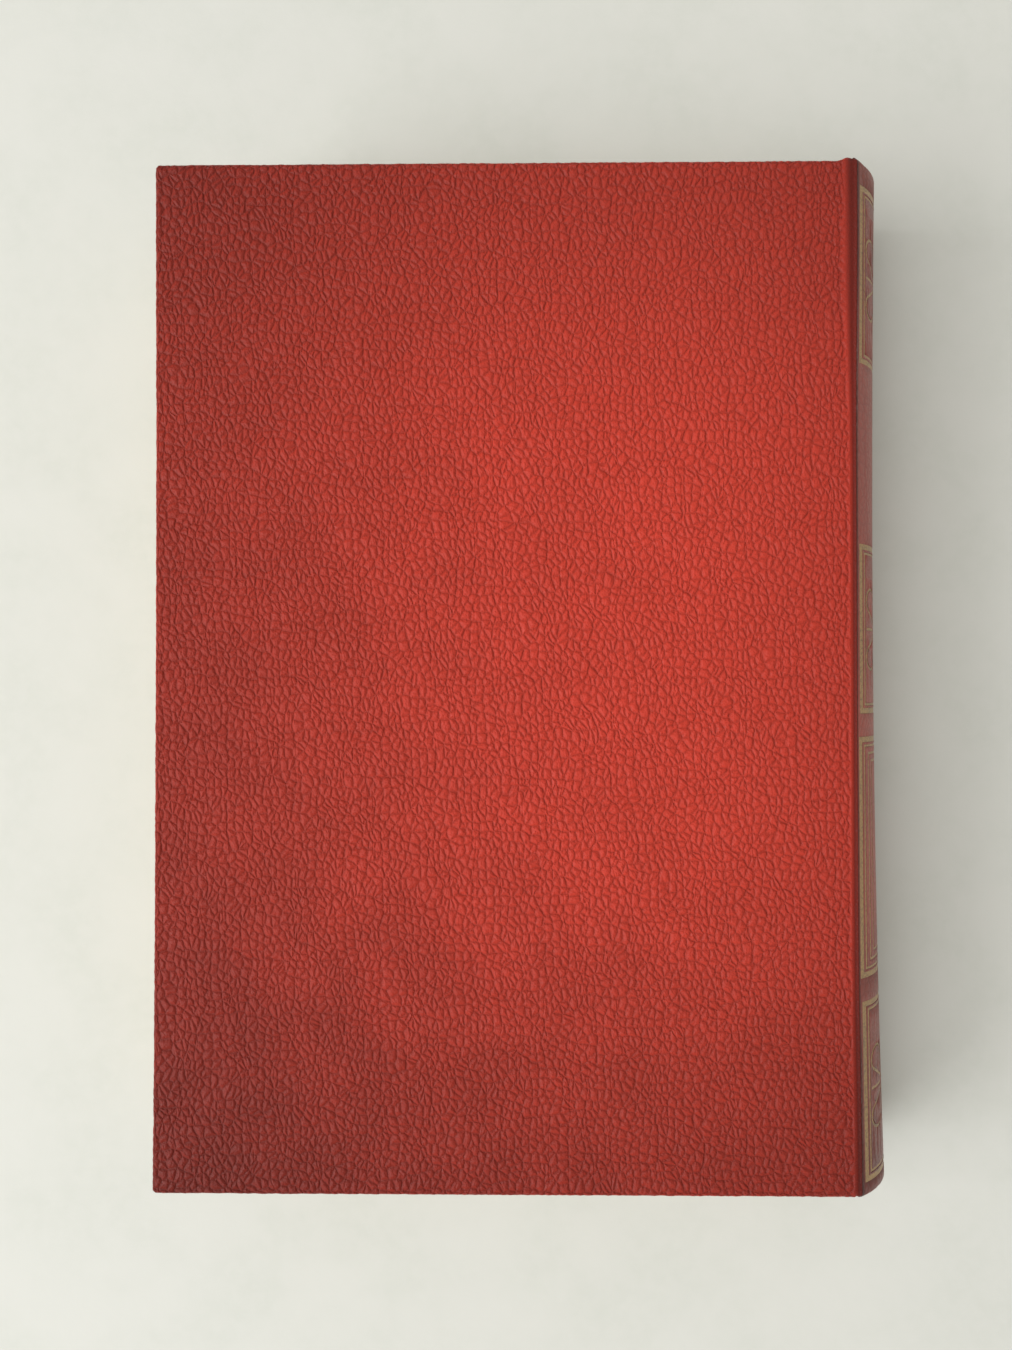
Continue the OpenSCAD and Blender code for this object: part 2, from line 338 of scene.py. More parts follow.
def cells(tree, at, per, uneven=0.82):
    """Distance from the nearest crease of a net of cells of a size in millimetres, as a share of a cell."""
    return add(tree, "ShaderNodeTexVoronoi",
               {"Vector": squeeze(tree, at, per), "Scale": 1.0, "Randomness": uneven},
               feature="DISTANCE_TO_EDGE", voronoi_dimensions="2D").outputs[0]


# Boarded grain, in mm: cells across and along the skin, and how deep each kind of crease is
PEBBLE, PEBBLE_DEEP, CREASE_DEEP = (1.5, 1.85, 1), 0.19, 0.035
FOLD, FOLD_DEEP = (4.6, 11.0, 1), 0.075
CRACK, CRACK_DEEP = (0.66, 0.82, 1), 0.03
GRAIN_DEEP = 0.332


def boarded_grain(tree, at, blur=1.0):
    """Height of goatskin grain in mm, 0 at its highest pebble and below; for shaders and geometry nodes."""
    # The net of pebbles wanders in patches of 9 mm and of 1.3 mm, so that no rows show
    place = wander(tree, in_mm(tree, at), 9.0, 2.2)
    close = wander(tree, place, 1.3, 0.36)
    net = cells(tree, close, PEBBLE, 0.9)
    dome = ramp(tree, net, -0.05, 0.42, 0, PEBBLE_DEEP)
    crease = ramp(tree, net, 0, 0.17 * blur, 0, CREASE_DEEP)
    fold = ramp(tree, cells(tree, wander(tree, place, 3.0, 1.3), FOLD), 0, 0.07 * blur, 0, FOLD_DEEP)
    crack = ramp(tree, cells(tree, close, CRACK), 0, 0.3 * blur, 0, CRACK_DEEP)
    raised = calc(tree, "ADD", calc(tree, "ADD", dome, crease), calc(tree, "ADD", fold, crack))
    return calc(tree, "SUBTRACT", raised, GRAIN_DEEP)


def new_material(name):
    made = bpy.data.materials.new(name)
    made.use_nodes = True
    tree = made.node_tree
    tree.nodes.clear()
    shader = add(tree, "ShaderNodeBsdfPrincipled")
    add(tree, "ShaderNodeOutputMaterial", {0: shader.outputs[0]})
    return made, tree, shader


def object_place(tree):
    return add(tree, "ShaderNodeTexCoord").outputs["Object"]


def mix(tree, share, a, b, blend="MIX"):
    """Mixes two colours, which are the node's inputs 6 and 7."""
    return add(tree, "ShaderNodeMix", {0: share, 6: a, 7: b}, data_type="RGBA", blend_type=blend).outputs[2]


def bump(tree, height, distance):
    return add(tree, "ShaderNodeBump", {"Height": height, "Distance": distance, "Strength": 1.0}).outputs[0]


def noise(tree, at, scale, detail=2.0, per=None, rough=0.5, kind="3D"):
    if per:
        at = squeeze(tree, at, per)
    return add(tree, "ShaderNodeTexNoise",
               {"Vector": at, "Scale": scale, "Detail": detail, "Roughness": rough},
               noise_dimensions=kind).outputs[0]


def attribute(tree, name):
    """A value that is stored on the mesh, as a vector and as a number."""
    return add(tree, "ShaderNodeAttribute", attribute_name=name).outputs


def leather(name, deep, bright, crease, depth, rough, gloss=0.2):
    """Goatskin: dye with painted shade in the creases (partly dye gathered there), a soft sheen and a fine
    grain under the pebbles.
    """
    made, tree, shader = new_material(name)
    at = attribute(tree, "sheet")["Vector"]
    share = attribute(tree, "grain")["Fac"]
    height = calc(tree, "MULTIPLY", boarded_grain(tree, at), share)
    mm = in_mm(tree, at)
    mottle = ramp(tree, noise(tree, mm, 0.06, 2.0, kind="2D"), 0.3, 0.7)
    dye = mix(tree, mottle, deep, bright)
    # Painted shade: darker in the creases, toward the skin's edges and in the joint
    shade = calc(tree, "MULTIPLY", ramp(tree, height, -0.28, -0.08, crease, 1.0), patina_and_painted_shade(tree, mm, mottle))
    grey = add(tree, "ShaderNodeCombineColor", {0: shade, 1: shade, 2: shade}).outputs[0]
    tree.links.new(mix(tree, 1.0, dye, grey, "MULTIPLY"), shader.inputs["Base Color"])
    fine = noise(tree, mm, 1.9, 3.0, rough=0.62, kind="2D")
    tree.links.new(ramp(tree, fine, 0.3, 0.7, rough - 0.05, rough + 0.07), shader.inputs["Roughness"])
    relief = calc(tree, "MULTIPLY_ADD", fine, 0.14, height)
    tree.links.new(bump(tree, relief, depth * MM), shader.inputs["Normal"])
    shader.inputs["Specular IOR Level"].default_value = gloss
    shader.inputs["Diffuse Roughness"].default_value = 1.0
    return made


def patina_and_painted_shade(tree, mm, mottle):
    """How much of the dye's brightness is left: painted shade toward the skin's edges, partly patina from hands
    and shelves, and painted shade in the joint's groove.
    """
    parts = add(tree, "ShaderNodeSeparateXYZ", {0: mm})
    shift = calc(tree, "MULTIPLY_ADD", mottle, 6.0, -3.0)
    across = calc(tree, "ADD", parts.outputs[0], shift)
    along = calc(tree, "ADD", parts.outputs[1], shift)
    # Each side darkens between two places in mm, to a share of the brightness: painted shade where the light
    # falls off, partly patina
    left = ramp(tree, across, -92, 12, 0.62, 1.0)
    right = ramp(tree, across, 96, 28, 0.64, 1.0)
    foot = ramp(tree, along, -122, -24, 0.5, 1.0)
    head = ramp(tree, along, 122, 36, 0.62, 1.0)
    # Painted shade in the joint's groove, as much as the sheet's third value says
    joint = ramp(tree, parts.outputs[2], 0.0, 1.0, 1.0, 0.42)
    return calc(tree, "MULTIPLY", calc(tree, "MULTIPLY", left, right),
                calc(tree, "MULTIPLY", joint, calc(tree, "MULTIPLY", foot, head)))


def goatskin(colours):
    # Goatskin dyed red and boarded by hand: rounded pebbles with creases darkened partly by painted shade, and
    # a low sheen
    return leather("Goatskin_boarded", colours.skin_deep, colours.skin, crease=0.78, depth=1.5, rough=0.46)


def pared_goatskin(colours):
    # The same skin, pared thin and worked damp round the back: flatter grain and smoother; browner and darker
    # by painted shade and painted reflection of the pale room
    return leather("Goatskin_pared", colours.back_deep_shaded, colours.back, crease=0.85, depth=0.25, rough=0.4,
                   gloss=0.5)


def gold_leaf(colours):
    # Gold leaf struck with a hot tool and rubbed since: a broken metal film, dull where it is thin
    made, tree, shader = new_material("Gold_leaf_tooled")
    mm = in_mm(tree, object_place(tree))
    worn = ramp(tree, noise(tree, mm, 2.0, 4.0, rough=0.7), 0.28, 0.6)
    tree.links.new(mix(tree, worn, colours.gold_worn, colours.gold), shader.inputs["Base Color"])
    tree.links.new(ramp(tree, worn, 0, 1, 0.15, 0.65), shader.inputs["Metallic"])
    tree.links.new(ramp(tree, noise(tree, mm, 3.0), 0.3, 0.7, 0.36, 0.5), shader.inputs["Roughness"])
    tree.links.new(bump(tree, noise(tree, mm, 2.2, 3.0), 0.03 * MM), shader.inputs["Normal"])
    return made


def fibres(name, light, dark, rough, per, scale, contrast=(0.3, 0.7), relief=0.02):
    """Paper and board: felted fibres that lie in the direction of per."""
    made, tree, shader = new_material(name)
    mm = in_mm(tree, object_place(tree))
    strands = noise(tree, mm, scale, 4.0, per=per, rough=0.6)
    cloud = ramp(tree, noise(tree, mm, 0.045, 3.0), 0.3, 0.7)
    mid = mix(tree, cloud, srgb(dark), srgb(light))
    share = ramp(tree, strands, *contrast, 0.0, 0.6)
    tree.links.new(mix(tree, share, mid, srgb(light)), shader.inputs["Base Color"])
    shader.inputs["Roughness"].default_value = rough
    tree.links.new(bump(tree, strands, relief * MM), shader.inputs["Normal"])
    return made


# Laid paper, in mm: distance between its ribs and between its chain lines
RIB_PITCH, CHAIN_PITCH = 1.15, 25.0


def laid_paper(colours):
    # Laid paper: ribs about a millimetre apart, chain lines every 25 mm and a few brown foxing spots
    made, tree, shader = new_material("Laid_paper")
    mm = in_mm(tree, attribute(tree, "sheet")["Vector"])
    parts = add(tree, "ShaderNodeSeparateXYZ", {0: mm})
    ribs = calc(tree, "SINE", calc(tree, "MULTIPLY", parts.outputs[1], 2 * math.pi / RIB_PITCH))
    chains = ramp(tree, calc(tree, "PINGPONG", parts.outputs[0], CHAIN_PITCH / 2), 0, 0.35, 1, 0)
    cloud = ramp(tree, noise(tree, mm, 0.03, 3.0), 0.3, 0.7)
    spots = add(tree, "ShaderNodeTexVoronoi", {"Vector": mm, "Scale": 0.055}).outputs["Distance"]
    blot = calc(tree, "MULTIPLY_ADD", noise(tree, mm, 0.7, 3.0), 0.12, spots)
    foxed = ramp(tree, blot, 0.075, 0.13, 0.55, 0)
    plain = mix(tree, cloud, colours.endpaper_deep, colours.endpaper)
    spotted = mix(tree, foxed, plain, srgb("#b98f5c"))
    lined = mix(tree, calc(tree, "MULTIPLY", chains, 0.18), spotted, srgb("#cdbf9c"))
    tree.links.new(lined, shader.inputs["Base Color"])
    shader.inputs["Roughness"].default_value = 0.85
    relief = calc(tree, "MULTIPLY_ADD", ribs, 0.35, noise(tree, mm, 1.6, 3.0))
    tree.links.new(bump(tree, relief, 0.02 * MM), shader.inputs["Normal"])
    return made


def weave(name, light, dark, pitch, relief, rough=0.9):
    """Plain-woven cloth: warp and weft cross over and under each other at a thread spacing in millimetres."""
    made, tree, shader = new_material(name)
    mm = in_mm(tree, object_place(tree))
    parts = add(tree, "ShaderNodeSeparateXYZ", {0: wander(tree, mm, 6.0, 0.5)})
    warp = calc(tree, "SINE", calc(tree, "MULTIPLY", parts.outputs[1], math.pi / pitch))
    weft = calc(tree, "SINE", calc(tree, "MULTIPLY", parts.outputs[2], math.pi / pitch))
    height = calc(tree, "ABSOLUTE", calc(tree, "MULTIPLY", warp, weft))
    # Painted shade: the threads are darker where they dip between their crossings
    thread = mix(tree, ramp(tree, height, 0.0, 0.6), srgb(dark), srgb(light))
    tree.links.new(thread, shader.inputs["Base Color"])
    shader.inputs["Roughness"].default_value = rough
    tree.links.new(bump(tree, height, relief * MM), shader.inputs["Normal"])
    return made


def silk(name, light, dark):
    """Silk thread: fine twisted filaments with a soft lustre."""
    made, tree, shader = new_material(name)
    mm = in_mm(tree, object_place(tree))
    strand = noise(tree, mm, 6.0, 2.0)
    tree.links.new(mix(tree, ramp(tree, strand, 0.3, 0.7), srgb(dark), light), shader.inputs["Base Color"])
    shader.inputs["Roughness"].default_value = 0.42
    shader.inputs["Sheen Weight"].default_value = 0.3
    tree.links.new(bump(tree, strand, 0.03 * MM), shader.inputs["Normal"])
    return made


RECIPES = {
    "goatskin": goatskin,
    "back_skin": pared_goatskin,
    "gold": gold_leaf,
    # Book paper trimmed by the guillotine: cream, a little darker toward some leaves
    "pages": lambda colours: fibres("Book_paper_trimmed", "#eadfc4", "#d8c8a2", 0.85, (30, 30, 0.12), 1.0,
                                    (0.35, 0.65), 0.03),
    "endpaper": laid_paper,
    # Kraft paper: brown, with long pale fibres
    "kraft": lambda colours: fibres("Kraft_paper", "#a98560", "#8a6a48", 0.8, (1, 6, 1), 1.2),
    # Millboard: grey-brown pulp with coarse flecks
    "millboard": lambda colours: fibres("Millboard_pressed", "#857765", "#5f5446", 0.9, (1, 1, 1), 1.8),
    # Linen tape: close plain weave of unbleached thread
    "linen": lambda colours: weave("Linen_tape_woven", "#e2d6bb", "#b7a684", 0.4, 0.08),
    # Mull: open cotton weave, stiff with size
    "mull": lambda colours: weave("Mull_cotton_open", "#e6e0d0", "#a89c82", 0.9, 0.1),
    # Silk thread: twisted filaments that catch the light in thin lines
    "red_silk": lambda colours: silk("Silk_thread_red", colours.silk_red, "#7c231e"),
    "cream_silk": lambda colours: silk("Silk_thread_cream", colours.silk_cream, "#c9b78d"),
}
MADE = {}


def material(name):
    if name not in MADE:
        MADE[name] = RECIPES[name](bpy.context.scene.book_colours)
    return MADE[name]


def grain_nodes(depth):
    """A modifier's nodes that press the leather's grain into the mesh, along its normals."""
    tree = bpy.data.node_groups.new("press grain", "GeometryNodeTree")
    for in_out in ("INPUT", "OUTPUT"):
        tree.interface.new_socket("Geometry", in_out=in_out, socket_type="NodeSocketGeometry")
    at, share = (
        add(tree, "GeometryNodeInputNamedAttribute", {"Name": name}, data_type=kind).outputs["Attribute"]
        for name, kind in (("sheet", "FLOAT_VECTOR"), ("grain", "FLOAT")))
    cushion = calc(tree, "SUBTRACT", noise(tree, in_mm(tree, at), 0.035, 2.0, kind="2D"), 0.6)
    swell = calc(tree, "MULTIPLY", cushion, 0.1 * MM)
    press = calc(tree, "MULTIPLY_ADD", boarded_grain(tree, at, 3.0), depth, swell)
    press = calc(tree, "MULTIPLY", press, share)
    normal = add(tree, "GeometryNodeInputNormal").outputs[0]
    move = add(tree, "ShaderNodeVectorMath", {0: normal, "Scale": press}, operation="SCALE").outputs[0]
    whole = add(tree, "NodeGroupInput").outputs[0]
    pressed = add(tree, "GeometryNodeSetPosition", {"Geometry": whole, "Offset": move}).outputs[0]
    add(tree, "NodeGroupOutput", {0: pressed})
    return tree


# ---------------------------------------------------------------- covers

# Across the joint, in mm from the cover's edge: rows of the cover, the bottom of the dip, and the strip's end;
# then how deep the dip is at its bottom and at the strip's end, and how many rows the strip has
JOINT_ROWS = (-1.9, -1.6, -1.3, -1.0, -0.7, -0.45, -0.2)
DIP_PLACE, STRIP_END = 0.75, 1.35
DIP, END_DIP = 0.62, 0.50
STRIP_ROWS = 16
# How far the joints are drawn in at mid height, and how far the leather stands past the boards at the head
DRAWN_IN, PEAK_RISE = 0.42, 0.75
# Where along the back its waist is, how far it stands out there, in mm, and how fast it grows to head and tail
WAIST_Y, WAIST_OUT, TO_HEAD, TO_TAIL = 20, 8.15, 1.13e-4, 1.39e-4


def ease(t):
    """Soft step from 0 to 1 as t goes from 0 to 1."""
    t = np.clip(t, 0, 1)
    return t * t * (3 - 2 * t)


def joint_start(co):
    """Where the leather starts to dip into the joint, in mm: sooner at the head, where it was pulled in."""
    return -0.15 - 1.45 * ease((co[:, 1] / MM - 40) / 50)


def dip_joint(co, up):
    """Presses the leather down into the joint, and returns how much painted shade darkens each point in the
    joint's groove.
    """
    across = (co[:, 0] - JOINT_X) / MM
    start = joint_start(co)
    depth = DIP * ease((across - start) / (DIP_PLACE - start))
    # Painted shade in the groove of the joint
    joint_shade = ease((across - start - 0.35 * ease((start + 1.6) / 1.45)) / (0.7 - start))
    depth -= (DIP - END_DIP) * ease((across - DIP_PLACE) / (STRIP_END - DIP_PLACE))
    out = (co[:, 2] - MID_Z) * up / MM
    co[:, 2] -= up * depth * MM * np.clip((out - 12.6) / 1.5, 0, 1)
    return joint_shade


def peak(co):
    """Lifts the leather a little past the boards' head, on both sides of each joint."""
    across = (co[:, 0] - JOINT_X) / MM
    rise = np.where(across < -0.2, ease((across + 2.4) / 2.2), 1 - ease((across + 0.2) / 4.0))
    rise *= ease((np.abs(co[:, 2] - MID_Z) / MM - 9) / 4) * ease((co[:, 1] - HALF_H) / (5 * MM) + 1)
    co[:, 1] += PEAK_RISE * MM * rise


def spine_stretch(y):
    """How far the back stands out at a height, as a share of the straight solid's."""
    above = y / MM - WAIST_Y
    out = WAIST_OUT + np.where(above > 0, TO_HEAD, TO_TAIL) * above ** 2
    return out / ((SPINE_X - JOINT_X) / MM)


def waist(obj):
    """Gives the back its slight waist and its fuller tail, and draws the joints in between head and tail."""
    co = points(obj)
    across = (co[:, 0] - JOINT_X) / MM
    drawn = np.where(across < 0, ease(across / 6 + 1), 1 - ease(across / 5))
    drawn *= ease((np.abs(co[:, 2] - MID_Z) / MM - 9) / 4) * (1 - ease((np.abs(co[:, 1] / MM + 5) - 50) / 50))
    co[:, 0] -= DRAWN_IN * MM * drawn
    reach = np.clip(co[:, 0] - JOINT_X, 0, None)
    co[:, 0] += reach * (spine_stretch(co[:, 1]) - 1)
    set_points(obj, co)


def cover_shell(sizes):
    """The back cover's leather: outside, rounded edges, turned-in flaps and the strip over the joint."""
    low, high = BACK_LOW, BACK_HIGH
    deselect()
    bpy.ops.mesh.primitive_cube_add(size=1, location=(low + high) / 2, scale=high - low)
    shell = newest()
    bpy.ops.object.transform_apply(location=True, rotation=True, scale=True)
    edit(shell)
    select(shell, "faces", lambda f: f.normal.x > 0.9)
    bpy.ops.mesh.delete(type="FACE")
    # Flaps: the inner face is inset from the three outer edges, and its middle is cut away
    select(shell, "faces", lambda f: f.normal.z < -0.9)
    bpy.ops.mesh.inset(thickness=sizes.turn_in, use_boundary=False)
    bpy.ops.mesh.delete(type="FACE")
    # The flaps meet in an open mitre, which closes a little way before the corner
    select(shell, "edges", lambda e: span(e)[0] > 5 * MM and span(e)[1] > 5 * MM)
    bpy.ops.mesh.subdivide(number_cuts=1)
    to_corner = sizes.mitre_from - sizes.turn_in / 2
    for side in (-1, 1):
        select(shell, "verts", lambda v: near(v.co.x, FORE_X + sizes.turn_in / 2) and v.co.y * side > 0)
        bpy.ops.transform.translate(value=(to_corner, -side * to_corner, 0))
    select(shell, "edges", lambda e: near(*span(e)[:2]) and span(e)[0] > sizes.turn_in / 2)
    bpy.ops.mesh.bevel(offset=sizes.mitre / 2, segments=1, affect="EDGES")
    select(shell, "faces", lambda f: f.normal.z < -0.9 and f.calc_area() < sizes.mitre * sizes.turn_in * 2)
    bpy.ops.mesh.delete(type="FACE")
    # Corners seen from above, then all long edges
    select(shell, "edges", lambda e: span(e)[2] > MM and near(middle(e).x, FORE_X))
    bpy.ops.mesh.bevel(offset=sizes.corner, segments=4, affect="EDGES")
    select(shell, "edges", lambda e: len(e.link_faces) == 2 and (
        near(e.verts[0].co.z, THICK) and near(e.verts[1].co.z, THICK)
        or any(f.normal.z < -0.9 for f in e.link_faces) and any(abs(f.normal.z) < 0.1 for f in e.link_faces)))
    bpy.ops.mesh.bevel(offset=sizes.edge, segments=4, affect="EDGES")
    # Rows for the joint's dip and a regular net over the cover
    for across in JOINT_ROWS:
        bisect((JOINT_X + across * MM, 0, 0), (1, 0, 0))
    rim = max(sizes.edge, sizes.corner) + 0.05 * MM
    x0, x1 = FORE_X + rim, JOINT_X + JOINT_ROWS[0] * MM
    y1 = HALF_H - rim
    columns, rows = round((x1 - x0) / sizes.cell), round(2 * y1 / sizes.cell)
    for i in range(columns):
        bisect((x0 + (x1 - x0) * i / columns, 0, 0), (1, 0, 0))
    for i in range(rows + 1):
        bisect((0, -y1 + 2 * y1 * i / rows, 0), (0, 1, 0))
    # The strip over the joint grows from the cover's edge
    select(shell, "edges", lambda e: e.is_boundary and all(
        near(v.co.x, JOINT_X) and v.co.z > THICK - sizes.edge - 0.01 * MM for v in e.verts))
    step = STRIP_END * MM / STRIP_ROWS
    for i in range(STRIP_ROWS):
        bpy.ops.mesh.extrude_region_move(TRANSFORM_OT_translate={"value": (step, 0, 0)})
    # Long edges are cut again, so that the grain is in the mesh
    long, straight = 2.2 * MM, 0.3 * MM
    inside = BACK_LOW.z + 0.01 * MM
    select(shell, "edges", lambda e: span(e)[1] > long and span(e)[0] < straight and not (
        middle(e).z < inside and middle(e).x > FORE_X + sizes.turn_in))
    bpy.ops.mesh.subdivide(number_cuts=sizes.cuts)
    select(shell, "edges", lambda e: span(e)[0] > long and span(e)[1] < straight and not (
        middle(e).z < inside and abs(middle(e).y) < HALF_H - sizes.turn_in))
    bpy.ops.mesh.subdivide(number_cuts=sizes.cuts)
    bpy.ops.mesh.select_all(action="SELECT")
    bpy.ops.mesh.normals_make_consistent(inside=False)
    done()
    return shell


@operator
class BOOK_OT_covers(bpy.types.Operator):
    """Covers the two boards in grained leather that runs over the joints"""
    bl_idname = "book.covers"
    bl_label = "Leather covers"

    def execute(self, context):
        sizes = context.scene.book_sizes
        shell = cover_shell(sizes)
        rename(shell, "back_cover_leather")
        front = twin(shell)
        rename(front, "front_cover_leather")
        edit(front)
        bpy.ops.mesh.select_all(action="SELECT")
        bpy.ops.transform.resize(value=(1, 1, -1), center_override=(0, 0, MID_Z))
        bpy.ops.mesh.flip_normals()
        done()
        press = grain_nodes(sizes.grain * MM)
        for piece, up, solid in ((shell, 1, "back_leather"), (front, -1, "front_leather")):
            self.grow_leather(piece, up, sizes, press)
            smooth(piece)
            finish_piece(piece, material("goatskin"), replaces=[solid])
            if up > 0:
                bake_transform(piece)
            else:
                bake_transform(piece)
        return {"FINISHED"}

    def grow_leather(self, piece, up, sizes, press):
        """Presses the grain, bows the edge, and gives the leather its thickness."""
        co = points(piece)
        out = (co[:, 2] - MID_Z) * up
        flap = out < BACK_LOW.z - MID_Z + 0.2 * MM
        across = (co[:, 0] - JOINT_X) / MM
        share = np.clip((joint_start(co) + 0.45 - across) / 0.7, 0.08, 1)
        share *= np.clip((out - (BACK_LOW.z - MID_Z)) / (2.4 * MM), 0.3, 1)
        flat = unfold_cover(co, up)
        # The sheet's third value carries the painted shade of the joint
        keep_sheet(piece, *flat, dip_joint(co, up) * MM)
        peak(co)
        keep_grain(piece, share)
        reach = np.clip((JOINT_X - co[:, 0]) / (JOINT_X - FORE_X), 0, 1)
        co[:, 0] += sizes.bow * reach ** 3 * (1 - (co[:, 1] / HALF_H) ** 2)
        set_points(piece, co)
        waist(piece)
        piece.modifiers.new("grain", "NODES").node_group = press
        apply_all(piece)
        group = piece.vertex_groups.new(name="thick")
        strip = co[:, 0] > JOINT_X + 0.05 * MM
        for rows, weight in ((flap, 0.5), (strip, 0.3), (~flap & ~strip, 1.0)):
            group.add([int(i) for i in np.nonzero(rows)[0]], weight, "REPLACE")
        wall = piece.modifiers.new("wall", "SOLIDIFY")
        wall.thickness, wall.offset, wall.vertex_group = sizes.leather, -1, "thick"
        wall.use_quality_normals = True
        apply_all(piece)
        # The inner face against the board is one flat face
        edit(piece)
        select(piece, "faces", lambda f: f.normal.z * up < -0.7
               and self.on_board(f.calc_center_median(), up, sizes))
        bpy.ops.mesh.delete(type="FACE")
        select(piece, "edges", lambda e: e.is_boundary)
        bpy.ops.mesh.edge_face_add()
        done()

    def on_board(self, place, up, sizes):
        """Whether a place on the leather's inner face lies against the flat of the board."""
        out = (place.z - MID_Z) * up
        return (out > THICK - MID_Z - 1.8 * sizes.leather and abs(place.y) < HALF_H - 2 * sizes.leather
                and FORE_X + 2 * sizes.leather < place.x < JOINT_X - 2 * sizes.leather)


# ---------------------------------------------------------------- back

# Turn from the middle of the back, in degrees: the outer rule on the solid, the leather's edge, the rule here
RULE_TURN, EDGE_TURN, SPREAD_TURN = 50.0, 54.3, 53.0
# Rows that the back is cut into along the book, and how far the gold lies below the leather, in mm
BACK_ROWS, GOLD_BELOW = 42, 0.05
# Places across the joint, and how far out from the book's middle the leather may stand there, in mm
BEAD_X = (66.85, 67.3, 67.6, 67.9, 68.1)
BEAD_OUT = (13.9, 14.15, 14.22, 14.36, 14.5)


@operator
class BOOK_OT_back(bpy.types.Operator):
    """Shapes the leather back, its card and its gilt"""
    bl_idname = "book.back"
    bl_label = "Tooled back"

    def execute(self, context):
        for node_name, name, finish, slot_name in (
                ("spine_leather", "back_of_leather", "back_skin", "spine_leather"),
                ("gilt_tooling", "gilt_rules_and_ornament", "gold", "gilt"),
                ("spine_stiffener", "spine_card", "kraft", "kraft")):
            piece = copy_node(node_name, name)
            edit(piece)
            for i in range(1, BACK_ROWS):
                bisect((0, -HALF_H + 2 * HALF_H * i / BACK_ROWS, 0), (0, 1, 0))
            bpy.ops.mesh.select_all(action="SELECT")
            bpy.ops.mesh.dissolve_degenerate(threshold=0.002 * MM)
            done()
            co = points(piece)
            turned = np.arctan2(co[:, 2] - MID_Z, co[:, 0] - ARC_X)
            # Painted shade where the back turns down into the joints
            joint_shade = ease((np.degrees(np.abs(turned)) - RULE_TURN) / 1.5)
            keep_sheet(piece, turned * SKIN_R, co[:, 1], MM * joint_shade)
            keep_grain(piece, np.ones(len(co)))
            if slot_name != "kraft":
                self.spread(co, turned, slot_name == "gilt")
            if slot_name == "spine_leather":
                self.flatten_beads(co)
            peak(co)
            set_points(piece, co)
            waist(piece)
            smooth(piece, 30)
            finish_piece(piece, material(finish), "text_and_spine", [node_name])
        return {"FINISHED"}

    def spread(self, co, turned, gold):
        """Spreads the tooling so that its outer rules lie close to the joints, and fills it with gold."""
        rule, edge, wide = (math.radians(a) for a in (RULE_TURN, EDGE_TURN, SPREAD_TURN))
        size = np.abs(turned)
        past_rule = wide + (size - rule) * (edge - wide) / (edge - rule)
        new = np.where(size < rule, size * wide / rule, np.where(size < edge, past_rule, size))
        new *= np.sign(turned)
        reach = np.hypot(co[:, 2] - MID_Z, co[:, 0] - ARC_X)
        if gold:
            reach = np.where(reach > 17.7 * MM, SKIN_R - GOLD_BELOW * MM, reach)
        co[:, 0] = ARC_X + reach * np.cos(new)
        co[:, 2] = MID_Z + reach * np.sin(new)

    def flatten_beads(self, co):
        """Lowers the leather beside each joint, so that it runs into the dip without a ridge."""
        limit = np.interp(co[:, 0] / MM, BEAD_X, BEAD_OUT) * MM
        out = co[:, 2] - MID_Z
        beside = co[:, 0] < BEAD_X[-1] * MM
        co[:, 2] = np.where(beside, MID_Z + np.sign(out) * np.minimum(np.abs(out), limit), co[:, 2])


# ---------------------------------------------------------------- pages

# Leaves in the stack, how much of its height each fills, and the rounding of its fore-edge corners in mm
LEAVES, LEAF_SHARE, LEAF_CORNER = 110, 0.93, 0.7


